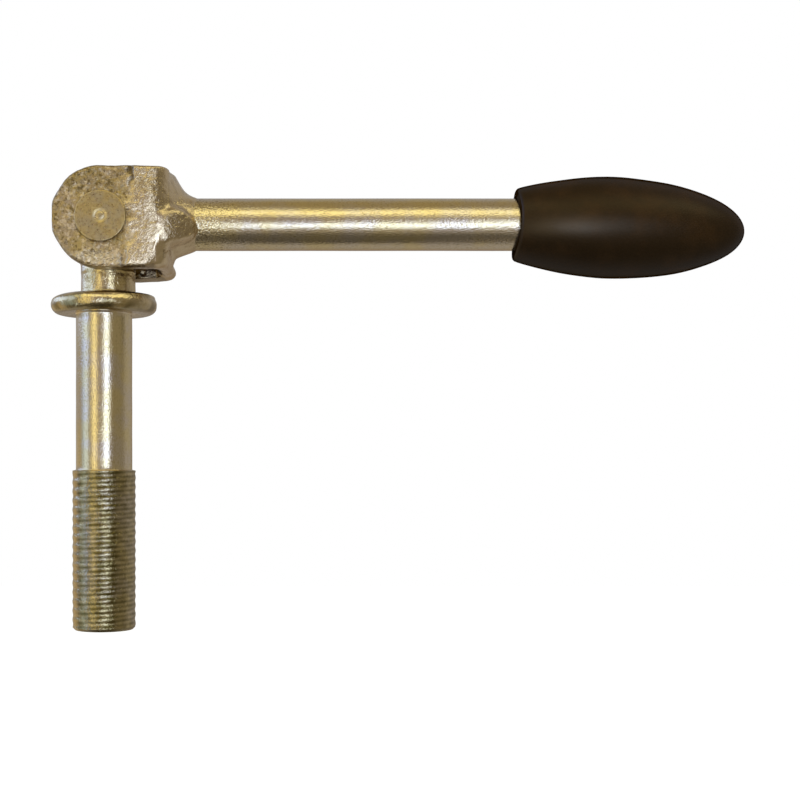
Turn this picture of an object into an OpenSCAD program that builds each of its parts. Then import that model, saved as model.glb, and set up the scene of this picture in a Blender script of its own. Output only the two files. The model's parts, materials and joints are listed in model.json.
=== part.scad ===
// Hinged clamping handle: a forged clamp screw whose eye is pinned into the fork of a swinging lever.
// The lever is a round bar welded to the fork, with a soft grip pushed on its end.
// Frame: Z runs up the screw, X along the lever, and the origin is on the screw axis at the collar's underside.

/* [Clamp screw] */
// Major diameter of the thread
thread_d = 12; // [11:0.25:16]
// Length of the thread, chamfer included
thread_l = 30.6; // [20:0.2:50]
// Chamfer on the free end of the thread
thread_chamfer = 0.5; // [0.3:0.1:1.5]
// Diameter of the plain shank
shank_d = 10.7; // [8:0.1:11]
// Length of the plain shank between collar and thread
shank_l = 29.9; // [10:0.2:50]
// Diameter of the collar
collar_d = 20.2; // [17:0.2:26]
// Thickness of the collar, whose rim is fully rounded
collar_t = 3.4; // [2.6:0.1:5]
// Diameter of the neck between collar and eye
neck_d = 10.4; // [8:0.1:12]
// Height of the neck that shows between the collar and the fork
neck_gap = 4.2; // [3.4:0.1:8]
// Fillet where the neck leaves the collar
neck_fillet = 0.8; // [0.4:0.1:1.5]
// Sideways offset of neck and eye from the shank, as forged
eye_offset = 0.8; // [0:0.1:1]
// Diameter of the eye
eye_d = 18; // [16:0.2:20]
// Thickness of the eye
eye_t = 10.2; // [8:0.1:12]
// Rounding of the eye's rims
eye_round = 0.9; // [0.3:0.1:1.5]

/* [Fork] */
// Height of the fork, which is also the diameter of its round end
fork_h = 19; // [18:0.2:24]
// Distance of the round end's flattened nose from the pivot
fork_nose = 9.1; // [8.5:0.1:9.5]
// Thickness of each cheek
cheek_t = 4; // [3:0.1:6]
// Clearance between a cheek and the eye or neck
cheek_clearance = 0.3; // [0.2:0.05:0.6]
// Thickness of the web that closes the slot
web_t = 3; // [2:0.1:5]
// Clearance between the eye and the web
web_clearance = 0.5; // [0.4:0.1:1.5]
// Rounding of the fork's two upright corners beside the bar
fork_corner = 3.5; // [2:0.1:4]
// Rounding of the fork's lower edge beside the bar
fork_heel = 1.2; // [0.5:0.1:2]
// Rounding of the fork's upper edge beside the bar
fork_shoulder = 0.5; // [0.3:0.1:2]
// Rounding of the cheeks' outer edges
cheek_round = 0.7; // [0.3:0.1:1.2]
// Fillet in the inner corners of the slot
slot_fillet = 1; // [0.5:0.1:2]

/* [Pivot pin] */
// Diameter of the pivot pin
pin_d = 9.5; // [6:0.1:11]
// Radial running clearance of the pin in the eye
pin_clearance = 0.05; // [0.02:0.01:0.1]
// Height by which the pin stands proud of each cheek
pin_proud = 0.3; // [0.1:0.05:0.8]
// Chamfer on the pin's ends
pin_chamfer = 0.4; // [0.2:0.05:0.8]
// Diameter of the turning centre in the pin's ends
centre_d = 2.4; // [1:0.1:3]
// Depth of the turning centre
centre_depth = 0.6; // [0.2:0.1:1.5]

/* [Lever bar] */
// Diameter of the bar
bar_d = 10; // [8:0.1:12]
// Length of the bar from the fork to its end inside the grip
bar_l = 100; // [70:1:160]
// Chamfer on the bar's far end
bar_chamfer = 0.8; // [0.3:0.1:1.5]
// Length of the weld along the bar
weld_l = 4.6; // [3:0.1:7]
// Height of the weld's root on the fork, all round the bar
weld_root = 1.9; // [1:0.1:3]
// Rise of the main bead above the bar's axis
weld_rise = 1.3; // [0.5:0.1:2]
// Distance of the main bead from the fork's upper face
weld_inset = 0.1; // [0.1:0.1:1]
// Diameter of the tongue of weld on each side of the bar, at the fork
weld_tongue_d = 8.6; // [7:0.1:9]
// Diameter of the tongue's rounded tip
weld_tip_d = 3.4; // [2:0.1:4]
// Drop of the tongues below the bar's axis
weld_drop = 1; // [0:0.1:1.5]
// Thickness of the weld's toe on the bar
weld_toe = 0.2; // [0.1:0.05:0.5]

/* [Grip] */
// Length of the grip
grip_l = 44.1; // [40:0.1:70]
// Largest diameter of the grip
grip_d = 19.4; // [17:0.2:26]
// Distance of the largest diameter from the mouth
grip_belly = 17.6; // [12:0.2:25]
// Outer diameter at the mouth
grip_mouth_d = 13.8; // [13:0.1:16]
// Rounding of the mouth's lip
grip_lip = 0.8; // [0.3:0.1:1]
// Depth of the bar in the grip
grip_depth = 34.6; // [20:0.1:36]
// Angle at which the soft grip hangs below the bar
grip_droop = 2; // [0:0.1:3]

/* [Hidden] */
$fn = 96;
tiny = 0.01;

// Fits and places that follow from the sizes above
tongue_t = max(eye_t, neck_d);
slot_w = tongue_t + 2 * cheek_clearance;
fork_w = slot_w + 2 * cheek_t;
slot_end = eye_d / 2 + web_clearance;
fork_end = slot_end + web_t;
pivot_z = collar_t + neck_gap + fork_h / 2;
eye_bore_d = pin_d + 2 * pin_clearance;
pin_l = fork_w + 2 * pin_proud;
mouth_x = fork_end + bar_l - grip_depth;

// Weld outline: a hollow-faced bead set above the bar's axis
weld_r = fork_h / 2 - weld_inset - weld_rise;
weld_tip_r = bar_d / 2 + weld_toe - weld_rise;
weld_tongue_y = bar_d / 2 - weld_tip_d / 2 + weld_toe;
weld_steps = 6;
weld_hollow = 1.6;

// Grip outline: a swelling curve from the mouth to the belly, then half an ellipse for the nose
grip_r = grip_d / 2;
nose_l = grip_l - grip_belly;
nose_steps = 22;
belly_steps = 8;
belly_power = 1.7;

// Moves its children from the pivot to their place over the screw
module at_pivot() {
    translate([eye_offset, 0, pivot_z]) children();
}

// Lays a revolved or extruded shape along the lever
module along_lever(x = 0) {
    translate([x, 0, 0]) rotate([0, 90, 0]) children();
}

// Rectangle centred on the origin with true arcs at its corners
module rounded_rectangle(width, height, radius) {
    square([width - 2 * radius, height], center = true);
    square([width, height - 2 * radius], center = true);
    for (x = [-1, 1], y = [-1, 1])
        translate([x * (width / 2 - radius), y * (height / 2 - radius)]) circle(radius);
}

// Disc about the Y axis with rounded rims
module rimmed_disc(diameter, thickness, radius) {
    rotate([90, 0, 0]) rotate_extrude()
        intersection() {
            rounded_rectangle(diameter, thickness, radius);
            translate([0, -thickness / 2]) square([diameter / 2, thickness]);
        }
}

// Ring with a concave quarter-round section that fills the corner around a shaft
module corner_fillet(shaft_d, radius) {
    rotate_extrude()
        translate([shaft_d / 2 - tiny, -tiny])
            difference() {
                square(radius + tiny);
                translate([radius + tiny, radius + tiny]) circle(radius);
            }
}

module collar() {
    rotate_extrude() {
        square([(collar_d - collar_t) / 2, collar_t]);
        translate([(collar_d - collar_t) / 2, collar_t / 2])
            intersection() {
                circle(collar_t / 2);
                translate([0, -collar_t / 2]) square(collar_t);
            }
    }
}

module threaded_end() {
    translate([0, 0, -shank_l - thread_l]) {
        cylinder(d1 = thread_d - 2 * thread_chamfer, d2 = thread_d, h = thread_chamfer);
        translate([0, 0, thread_chamfer]) cylinder(d = thread_d, h = thread_l - thread_chamfer);
    }
}

module clamp_screw() {
    color("#b8a878")
    difference() {
        union() {
            threaded_end();
            translate([0, 0, -shank_l - tiny]) cylinder(d = shank_d, h = shank_l + 2 * tiny);
            collar();
            translate([eye_offset, 0, collar_t - tiny]) {
                cylinder(d = neck_d, h = pivot_z - collar_t);
                corner_fillet(neck_d, neck_fillet);
            }
            at_pivot() rimmed_disc(eye_d, eye_t, eye_round);
        }
        at_pivot() rotate([90, 0, 0]) cylinder(d = eye_bore_d, h = tongue_t + 2, center = true);
    }
}

// Plan of the fork seen from above, before the slot is cut
module fork_plan() {
    tip = -min(fork_nose, fork_h / 2);
    translate([tip, -fork_w / 2]) square([fork_end - fork_corner - tip, fork_w]);
    translate([tip, -fork_w / 2 + fork_corner])
        square([fork_end - tip, fork_w - 2 * fork_corner]);
    for (side = [-1, 1])
        translate([fork_end - fork_corner, side * (fork_w / 2 - fork_corner)]) circle(fork_corner);
}

// Plan of the slot, with filleted inner corners
module slot_plan() {
    mouth = -fork_h / 2 - 1;
    translate([mouth, -slot_w / 2]) square([slot_end - slot_fillet - mouth, slot_w]);
    translate([mouth, -slot_w / 2 + slot_fillet])
        square([slot_end - mouth, slot_w - 2 * slot_fillet]);
    for (side = [-1, 1])
        translate([slot_end - slot_fillet, side * (slot_w / 2 - slot_fillet)]) circle(slot_fillet);
}

// Extrudes a plan through the whole height of the fork
module through_fork() {
    translate([0, 0, -fork_h / 2 - 1]) linear_extrude(fork_h + 2) children();
}

// Outline of the fork seen from the side: round about the pivot, with eased corners beside the bar
module fork_outline() {
    circle(d = fork_h);
    translate([0, -fork_h / 2]) square([fork_end - fork_heel, fork_h / 2]);
    square([fork_end - fork_shoulder, fork_h / 2]);
    translate([0, -fork_h / 2 + fork_heel]) square([fork_end, fork_h - fork_heel - fork_shoulder]);
    translate([fork_end - fork_heel, -fork_h / 2 + fork_heel]) circle(fork_heel);
    translate([fork_end - fork_shoulder, fork_h / 2 - fork_shoulder]) circle(fork_shoulder);
}

// Rounded bar section that ends in a disc about the pivot, for the eased edges of the cheeks
module fork_section() {
    rimmed_disc(fork_h, fork_w, cheek_round);
    along_lever() linear_extrude(fork_end) rounded_rectangle(fork_h, fork_w, cheek_round);
}

module fork_block() {
    intersection() {
        fork_section();
        rotate([90, 0, 0]) linear_extrude(fork_w + 2, center = true) fork_outline();
        through_fork() fork_plan();
    }
}

module fork() {
    color("#ab966a")
    at_pivot()
        difference() {
            fork_block();
            through_fork() slot_plan();
            rotate([90, 0, 0]) cylinder(d = pin_d, h = pin_l + 2, center = true);
        }
}

module pivot_pin() {
    color("#b39a5c")
    at_pivot() rotate([90, 0, 0])
        difference() {
            union() {
                cylinder(d = pin_d, h = pin_l - 2 * pin_chamfer, center = true);
                for (end = [0, 1]) mirror([0, 0, end])
                    translate([0, 0, pin_l / 2 - pin_chamfer])
                        cylinder(d1 = pin_d, d2 = pin_d - 2 * pin_chamfer, h = pin_chamfer);
            }
            for (end = [0, 1]) mirror([0, 0, end])
                translate([0, 0, pin_l / 2 - centre_depth])
                    cylinder(d1 = 0, d2 = centre_d, h = centre_depth);
        }
}

module bar_form() {
    along_lever(fork_end) {
        cylinder(d = bar_d, h = bar_l - bar_chamfer);
        translate([0, 0, bar_l - bar_chamfer])
            cylinder(d1 = bar_d, d2 = bar_d - 2 * bar_chamfer, h = bar_chamfer);
    }
}

module handle_bar() {
    color("#bba96f") at_pivot() bar_form();
}

// Half outline of the main bead as [radius, distance from the fork], hollow between fork and toe
function bead_outline() = concat(
    [[0, -fork_corner], [weld_r, -fork_corner]],
    [for (i = [0 : weld_steps])
        let (share = i / weld_steps)
        [weld_tip_r + (weld_r - weld_tip_r) * pow(1 - share, weld_hollow), weld_l * share]],
    [[0, weld_l]]);

// Tongue of weld beside the bar: a cone that leans in from the fork's corner to a rounded tip on the bar
module weld_tongue() {
    tip_r = weld_tip_d / 2;
    along_lever(fork_end - fork_corner)
        cylinder(d1 = weld_tongue_d, d2 = weld_tip_d, h = fork_corner + weld_l - tip_r);
    translate([fork_end + weld_l - tip_r, 0, 0]) sphere(tip_r);
}

// Weld metal before the fork and the bar are taken out: root run, main bead and a tongue on each side
module weld_form() {
    along_lever(fork_end - tiny)
        cylinder(r1 = bar_d / 2 + weld_root, r2 = bar_d / 2 + weld_toe, h = weld_l);
    translate([fork_end, 0, weld_rise]) along_lever() rotate_extrude() polygon(bead_outline());
    for (side = [-1, 1])
        translate([0, side * weld_tongue_y, -weld_drop]) weld_tongue();
}

module weld_bead() {
    color("#9c8a5a")
    at_pivot()
        difference() {
            weld_form();
            fork_block();
            along_lever(slot_end) cylinder(d = bar_d, h = fork_end - slot_end + bar_l);
        }
}

// Half outline of the grip as [radius, distance from the mouth]
function belly_drop(back) = (grip_r - grip_mouth_d / 2) * pow(back / grip_belly, belly_power);

function grip_outline() = concat(
    [[0, 0], [grip_mouth_d / 2 - grip_lip, 0]],
    [for (i = [1 : belly_steps])
        let (at = grip_lip + (grip_belly - grip_lip) * i / belly_steps)
        [grip_r - belly_drop(grip_belly - at), at]],
    [for (i = [1 : nose_steps])
        let (turn = 90 * i / nose_steps)
        [grip_r * cos(turn), grip_belly + nose_l * sin(turn)]]);

module grip() {
    color("#2a2119")
    at_pivot()
        difference() {
            translate([mouth_x, 0, 0]) rotate([0, grip_droop, 0]) along_lever()
                rotate_extrude() polygon(grip_outline());
            along_lever(mouth_x - grip_lip) cylinder(d = bar_d, h = grip_lip + grip_depth);
        }
}

clamp_screw();
fork();
pivot_pin();
handle_bar();
weld_bead();
grip();
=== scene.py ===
"""Look of the hinged clamping handle: zinc-plated clamp screw, fork, pin, welded bar and soft grip.

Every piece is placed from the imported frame, in metres. The screw, pin, bar and grip are surfaces worked out
from their outlines; the forged fork and the weld start from the solids and get the relief of their making.
"""

import json
import logging
import math
from dataclasses import dataclass
from enum import Enum

import bmesh
import bpy
import numpy as np
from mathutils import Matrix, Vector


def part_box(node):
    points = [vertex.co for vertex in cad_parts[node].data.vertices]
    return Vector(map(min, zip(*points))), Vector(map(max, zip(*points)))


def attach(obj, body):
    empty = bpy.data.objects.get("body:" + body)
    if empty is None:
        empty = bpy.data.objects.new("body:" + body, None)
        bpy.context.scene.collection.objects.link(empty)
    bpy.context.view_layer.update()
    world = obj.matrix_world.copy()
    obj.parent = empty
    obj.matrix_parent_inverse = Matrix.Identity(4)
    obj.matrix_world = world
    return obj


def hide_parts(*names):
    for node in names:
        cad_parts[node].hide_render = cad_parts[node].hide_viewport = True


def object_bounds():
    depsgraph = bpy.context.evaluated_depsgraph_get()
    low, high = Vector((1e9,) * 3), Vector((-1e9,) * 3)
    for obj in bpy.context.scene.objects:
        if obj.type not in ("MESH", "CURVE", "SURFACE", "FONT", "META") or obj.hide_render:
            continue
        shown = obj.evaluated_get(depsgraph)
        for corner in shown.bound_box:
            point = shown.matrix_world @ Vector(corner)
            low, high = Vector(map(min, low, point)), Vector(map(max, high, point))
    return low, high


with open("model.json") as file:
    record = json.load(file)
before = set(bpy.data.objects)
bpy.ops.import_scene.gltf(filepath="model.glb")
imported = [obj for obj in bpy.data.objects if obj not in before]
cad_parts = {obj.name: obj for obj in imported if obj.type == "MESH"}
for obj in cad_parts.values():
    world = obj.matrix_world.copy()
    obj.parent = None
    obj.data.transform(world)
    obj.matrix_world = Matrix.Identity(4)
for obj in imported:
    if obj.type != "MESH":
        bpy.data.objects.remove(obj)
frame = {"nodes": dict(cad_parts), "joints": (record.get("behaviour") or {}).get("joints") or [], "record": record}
CAD_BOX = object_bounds()

LOG = logging.getLogger("clamping_handle")
MM = 0.001
WAVES = 26
WEAR = "wear"


class Body(Enum):
    """The two bodies that move against each other."""

    SCREW = "screw"
    HANDLE = "handle"


class Grain(Enum):
    """The way in which the steel under the plating was worked, which sets how its fine relief runs."""

    ALONG_X = (0.6, 1.0, 1.0)
    ALONG_Z = (1.0, 1.0, 0.6)
    EVEN = (1.0, 1.0, 1.0)


def linear(hex_code: str) -> tuple[float, float, float, float]:
    """Turns an sRGB hex colour into linear light.

    Args:
        hex_code: six hex digits after a hash.

    Returns:
        Linear red, green and blue, and a full alpha.
    """
    shares = [int(hex_code[i:i + 2], 16) / 255 for i in (1, 3, 5)]
    light = [c / 12.92 if c <= 0.04045 else ((c + 0.055) / 1.055) ** 2.4 for c in shares]
    return (light[0], light[1], light[2], 1.0)


def add_node(tree: bpy.types.NodeTree, kind: str, settings: dict | None = None,
             values: dict | None = None, links: dict | None = None) -> bpy.types.Node:
    """Adds a shader node with its settings, socket values and links.

    Args:
        tree: the node tree to add to.
        kind: the node's Blender type name.
        settings: node properties by name.
        values: input values by socket name or index.
        links: output sockets to plug in, by input socket name or index.

    Returns:
        The new node.
    """
    node = tree.nodes.new(kind)
    for name, value in (settings or {}).items():
        setattr(node, name, value)
    for name, value in (values or {}).items():
        node.inputs[name].default_value = value
    for name, socket in (links or {}).items():
        tree.links.new(socket, node.inputs[name])
    return node


def blank_material(name: str) -> tuple[bpy.types.Material, bpy.types.NodeTree]:
    """Makes a material with an empty node tree and returns both."""
    made = bpy.data.materials.new(name)
    made.use_nodes = True
    made.node_tree.nodes.clear()
    return made, made.node_tree


def put_in_scene(name: str, data: bpy.types.ID) -> bpy.types.Object:
    """Makes an object of a mesh, lamp or camera and links it to the scene."""
    made = bpy.data.objects.new(name, data)
    bpy.context.scene.collection.objects.link(made)
    return made


def smoothstep(low: float, high: float, value: np.ndarray) -> np.ndarray:
    """Rises from 0 at low to 1 at high, level at both ends (three t squared less two t cubed)."""
    share = np.clip((value - low) / (high - low), 0.0, 1.0)
    return share * share * (3.0 - 2.0 * share)


def between(limits: tuple[float, float], edge: float, value: np.ndarray) -> np.ndarray:
    """Is 1 between two limits and 0 beyond them, with a smooth step of twice the edge over each limit."""
    low, high = limits
    return smoothstep(low - edge, low + edge, value) * (1.0 - smoothstep(high - edge, high + edge, value))


def bell(value: np.ndarray, middle: float, width: float | np.ndarray) -> np.ndarray:
    """Bell curve that is 1 at its middle: e to the minus square of the distance in widths."""
    return np.exp(-((value - middle) / width) ** 2)


def wobble(points: np.ndarray, wavelength: float, seed: int) -> np.ndarray:
    """Smooth random relief with unit spread: a sum of sine waves of random direction and phase.

    Args:
        points: places as an array with three columns.
        wavelength: typical distance between humps, in the points' units.
        seed: fixes the random draw.

    Returns:
        One height for each point.
    """
    draw = np.random.default_rng(seed)
    directions = draw.normal(size=(3, WAVES))
    directions /= np.linalg.norm(directions, axis=0)
    directions *= draw.uniform(0.7, 1.4, WAVES) * 2.0 * math.pi / wavelength
    phases = draw.uniform(0.0, 2.0 * math.pi, WAVES)
    return np.sin(points @ directions + phases).sum(axis=1) * math.sqrt(2.0 / WAVES)


def tidy_mesh(mesh: bpy.types.Mesh, sharp_deg: float) -> None:
    """Closes seams and poles, turns the faces outwards and shades them smooth below an angle.

    Args:
        mesh: the mesh to finish.
        sharp_deg: edges that turn by more than this stay crisp.
    """
    work = bmesh.new()
    work.from_mesh(mesh)
    bmesh.ops.remove_doubles(work, verts=work.verts, dist=2e-6)
    bmesh.ops.recalc_face_normals(work, faces=work.faces)
    work.to_mesh(mesh)
    work.free()
    mesh.polygons.foreach_set("use_smooth", np.ones(len(mesh.polygons), dtype=bool))
    mesh.set_sharp_from_angle(angle=math.radians(sharp_deg))
    mesh.update()


def surface(name: str, points: np.ndarray, sharp_deg: float = 40.0) -> bpy.types.Object:
    """Makes a closed surface from a grid whose columns run round and whose rows run along the piece.

    Args:
        name: the piece's name.
        points: array of rows, columns and three coordinates, in metres.
        sharp_deg: edges that turn by more than this stay crisp.

    Returns:
        The new object, with its place in its mesh.
    """
    rows, columns = points.shape[:2]
    index = np.arange(rows * columns).reshape(rows, columns)
    beside = np.roll(index, -1, axis=1)
    faces = np.stack([index[:-1], beside[:-1], beside[1:], index[1:]], axis=-1).reshape(-1, 4)
    mesh = bpy.data.meshes.new(name)
    mesh.from_pydata(points.reshape(-1, 3).tolist(), [], faces.tolist())
    tidy_mesh(mesh, sharp_deg)
    return put_in_scene(name, mesh)


def revolved(outline: np.ndarray, columns: int) -> np.ndarray:
    """Carries an outline round the Z axis: each [radius, height] row becomes a circle.

    Args:
        outline: array of rows with radius and height.
        columns: points round each circle.

    Returns:
        Grid of rows, columns and three coordinates.
    """
    turn = np.linspace(0.0, 2.0 * math.pi, columns, endpoint=False)
    radius, height = outline[:, :1], outline[:, 1:]
    flat = np.zeros_like(turn)
    return np.stack([radius * np.cos(turn), radius * np.sin(turn), height + flat], axis=-1)


def along_x(grid: np.ndarray) -> np.ndarray:
    """Lays a grid that runs up Z along X instead: height becomes X, and what pointed to X points down."""
    return np.stack([grid[..., 2], grid[..., 1], -grid[..., 0]], axis=-1)


def arc(centre: tuple[float, float], radius: float, start_deg: float, end_deg: float,
        steps: int) -> np.ndarray:
    """Points of an arc in an outline, as [radius, height] rows from start to end."""
    angle = np.radians(np.linspace(start_deg, end_deg, steps))
    return np.stack([centre[0] + radius * np.cos(angle), centre[1] + radius * np.sin(angle)], axis=-1)


def line(start: tuple[float, float], end: tuple[float, float], steps: int) -> np.ndarray:
    """Points of a straight stretch of an outline, as [radius, height] rows from start to end."""
    return np.linspace(start, end, steps)


def remade(node: str, name: str, voxel: float, smoothing: int, added: bpy.types.Object) -> bpy.types.Object:
    """Copies a solid of the frame, merges it, joins a form to it and remeshes both as one.

    Args:
        node: the solid's name in the frame.
        name: the new piece's name.
        voxel: size of the even mesh, in metres.
        smoothing: rounds of smoothing that soften the edges.
        added: the closed form that is joined to the solid.

    Returns:
        The new object, with its place in its mesh.
    """
    mesh = frame["nodes"][node].data.copy()
    mesh.materials.clear()
    work = bmesh.new()
    work.from_mesh(mesh)
    bmesh.ops.remove_doubles(work, verts=work.verts, dist=1e-6)
    work.from_mesh(added.data)
    work.to_mesh(mesh)
    work.free()
    raw = put_in_scene(name + "_raw", mesh)
    remesh = raw.modifiers.new("even", "REMESH")
    remesh.mode = "VOXEL"
    remesh.voxel_size = voxel
    soften = raw.modifiers.new("soften", "SMOOTH")
    soften.factor = 0.5
    soften.iterations = smoothing
    made = put_in_scene(name, evaluated_mesh(raw))
    bpy.data.objects.remove(raw)
    made.data.name = name
    return made


def evaluated_mesh(piece: bpy.types.Object) -> bpy.types.Mesh:
    """Returns a new mesh of the piece with its modifiers applied."""
    bpy.context.view_layer.update()
    graph = bpy.context.evaluated_depsgraph_get()
    return bpy.data.meshes.new_from_object(piece.evaluated_get(graph))


def read_points(mesh: bpy.types.Mesh) -> np.ndarray:
    """Returns the mesh's points as an array with three columns."""
    flat = np.empty(len(mesh.vertices) * 3, dtype=np.float32)
    mesh.vertices.foreach_get("co", flat)
    return flat.reshape(-1, 3).astype(float)


def read_normals(mesh: bpy.types.Mesh) -> np.ndarray:
    """Returns the mesh's point normals as an array with three columns."""
    flat = np.empty(len(mesh.vertices) * 3, dtype=np.float32)
    mesh.vertex_normals.foreach_get("vector", flat)
    return flat.reshape(-1, 3).astype(float)


def write_points(mesh: bpy.types.Mesh, points: np.ndarray) -> None:
    """Puts changed points back into the mesh."""
    mesh.vertices.foreach_set("co", points.astype(np.float32).ravel())
    mesh.update()


def eased(mesh: bpy.types.Mesh, points: np.ndarray, weight: np.ndarray, rounds: int) -> np.ndarray:
    """Smooths points by moving each towards the mean of its neighbours, as far as its weight says.

    Args:
        mesh: the mesh whose edges say which points are neighbours.
        points: places of its points.
        weight: share of the way that each point moves in a round.
        rounds: how often this is done.

    Returns:
        The moved points.
    """
    flat = np.empty(len(mesh.edges) * 2, dtype=np.int32)
    mesh.edges.foreach_get("vertices", flat)
    ends = flat.reshape(-1, 2)
    here = np.concatenate([ends[:, 0], ends[:, 1]])
    there = np.concatenate([ends[:, 1], ends[:, 0]])
    count = len(points)
    share = np.bincount(here, minlength=count).clip(1)[:, None]
    moved = points.copy()
    for _ in range(rounds):
        total = np.stack([np.bincount(here, moved[there, axis], count) for axis in range(3)], axis=-1)
        moved += weight[:, None] * (total / share - moved)
    return moved


def write_wear(mesh: bpy.types.Mesh, grime: np.ndarray, rubbed: np.ndarray, rough: np.ndarray,
               grain: np.ndarray | float = 1.0) -> None:
    """Stores how a piece has been treated at each point, for its finish to read.

    Args:
        mesh: the piece's mesh.
        grime: share of dark residue and of painted shade, from 0 to 1.
        rubbed: share of rubbed, lighter and smoother metal and of painted light.
        rough: share of forged or scaled skin.
        grain: share of the fine grain that is left.
    """
    layer = mesh.attributes.new(WEAR, "FLOAT_COLOR", "POINT")
    shares = np.stack([grime, rubbed, rough, grain + 0.0 * grime], axis=-1).clip(0.0, 1.0)
    layer.data.foreach_set("color", shares.astype(np.float32).ravel())


@dataclass(frozen=True)
class ZincPlate:
    """Yellow-passivated zinc plating on steel: a metal whose thin film drifts between gold, taupe and olive.

    To the eye it is a satin gold metal with soft clouds of colour a few millimetres wide, over the fine
    relief that rolling, forging, turning or welding left in the steel. A worn piece also reads its wear:
    red for grime and painted shade, green for rubbed metal and painted light, blue for rough, flecked
    skin and alpha for the grain that is left.
    The steel's own grain, hundredths of a millimetre, is too fine to show, so grain_mm draws it coarser.
    """

    name: str
    gold: str
    taupe: str
    olive: str
    roughness: tuple[float, float]
    grain: Grain
    grain_mm: float
    relief_mm: float
    pit_mm: float = 0.0
    pit_depth_mm: float = 0.0
    cloud_mm: float = 7.0
    ring_mm: float = 0.0
    ring_depth_mm: float = 0.006
    ring_centre: tuple[float, float, float] = (0.0, 0.0, 0.0)
    worn: bool = False
    extra_rough: float = 0.0
    rubbed_shine: float = 0.08
    fleck_mm: float = 0.5
    flecks: tuple[str, str] = ("#5f4d2e", "#d3bf9c")
    fleck_most: tuple[float, float] = (0.75, 0.55)
    # colour of grime, also used for painted shade
    grime: str = "#4a3a22"
    # colour of rubbed metal, also used for painted light
    rubbed: str = "#d0bc9a"

    def material(self) -> bpy.types.Material:
        """Builds the material.

        Returns:
            The finished material.
        """
        made, tree = blank_material(self.name)
        place = add_node(tree, "ShaderNodeTexCoord").outputs["Object"]
        worked = add_node(tree, "ShaderNodeMapping", {"vector_type": "POINT"},
                          {"Scale": self.grain.value}, {"Vector": place}).outputs["Vector"]
        wear = self._wear(tree) if self.worn else None
        colour = self._film(tree, place, worked)
        shine = self._shine(tree, worked)
        if wear:
            colour = self._worn(tree, self._flecked(tree, place, colour, wear), wear)
            shine = self._worn_shine(tree, shine, wear)
        relief = self._relief(tree, place, worked, wear)
        metal = add_node(tree, "ShaderNodeBsdfPrincipled", None, {"Metallic": 1.0},
                         {"Base Color": colour, "Roughness": shine, "Normal": relief})
        add_node(tree, "ShaderNodeOutputMaterial", None, None, {"Surface": metal.outputs["BSDF"]})
        return made

    def _film(self, tree: bpy.types.NodeTree, place: bpy.types.NodeSocket,
              worked: bpy.types.NodeSocket) -> bpy.types.NodeSocket:
        """Colour of the passivation film: wide clouds of gold and taupe, with olive in the fine grain.

        Args:
            tree: the material's nodes.
            place: object coordinates.
            worked: object coordinates stretched along the grain.

        Returns:
            The colour socket.
        """
        clouds = add_node(tree, "ShaderNodeTexNoise", None,
                          {"Scale": 1.0 / (self.cloud_mm * MM), "Detail": 3.0, "Roughness": 0.55},
                          {"Vector": place}).outputs["Fac"]
        drift = add_node(tree, "ShaderNodeMapRange", {"interpolation_type": "SMOOTHSTEP"},
                         {"From Min": 0.38, "From Max": 0.62}, {"Value": clouds}).outputs["Result"]
        base = add_node(tree, "ShaderNodeMix", {"data_type": "RGBA"},
                        {"A": linear(self.gold), "B": linear(self.taupe)}, {"Factor": drift})
        specks = add_node(tree, "ShaderNodeTexNoise", None,
                          {"Scale": 1.0 / (self.grain_mm * MM), "Detail": 4.0, "Roughness": 0.65},
                          {"Vector": worked}).outputs["Fac"]
        share = add_node(tree, "ShaderNodeMapRange", {"interpolation_type": "SMOOTHSTEP"},
                         {"From Min": 0.48, "From Max": 0.72, "To Max": 0.75},
                         {"Value": specks}).outputs["Result"]
        return add_node(tree, "ShaderNodeMix", {"data_type": "RGBA"}, {"B": linear(self.olive)},
                        {"Factor": share, "A": base.outputs["Result"]}).outputs["Result"]

    def _wear(self, tree: bpy.types.NodeTree) -> dict[str, bpy.types.NodeSocket]:
        """Reads the piece's wear and returns its shares of grime and painted shade, rubbed metal and painted
        light, rough skin and grain.
        """
        read = add_node(tree, "ShaderNodeAttribute", {"attribute_name": WEAR})
        apart = add_node(tree, "ShaderNodeSeparateColor", None, None,
                         {"Color": read.outputs["Color"]}).outputs
        return {"grime": apart["Red"], "rubbed": apart["Green"], "rough": apart["Blue"],
                "grain": read.outputs["Alpha"]}

    def _flecked(self, tree: bpy.types.NodeTree, place: bpy.types.NodeSocket, film: bpy.types.NodeSocket,
                 wear: dict[str, bpy.types.NodeSocket]) -> bpy.types.NodeSocket:
        """Strews dark and light flecks of scale over the rough skin.

        Args:
            tree: the material's nodes.
            place: object coordinates.
            film: the clean colour.
            wear: the piece's wear.

        Returns:
            The colour socket.
        """
        for shift, (fleck, most) in enumerate(zip(self.flecks, self.fleck_most)):
            moved = add_node(tree, "ShaderNodeMapping", {"vector_type": "POINT"},
                             {"Location": (0.1 * shift, 0.0, 0.2 * shift)},
                             {"Vector": place}).outputs["Vector"]
            strewn = add_node(tree, "ShaderNodeTexNoise", None,
                              {"Scale": 1.0 / (self.fleck_mm * MM), "Detail": 2.0, "Roughness": 0.6},
                              {"Vector": moved}).outputs["Fac"]
            share = add_node(tree, "ShaderNodeMapRange", {"interpolation_type": "SMOOTHSTEP"},
                             {"From Min": 0.52, "From Max": 0.66, "To Max": most},
                             {"Value": strewn}).outputs["Result"]
            share = add_node(tree, "ShaderNodeMath", {"operation": "MULTIPLY"}, None,
                             {0: share, 1: wear["rough"]}).outputs["Value"]
            film = add_node(tree, "ShaderNodeMix", {"data_type": "RGBA"}, {"B": linear(fleck)},
                            {"Factor": share, "A": film}).outputs["Result"]
        return film

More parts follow.
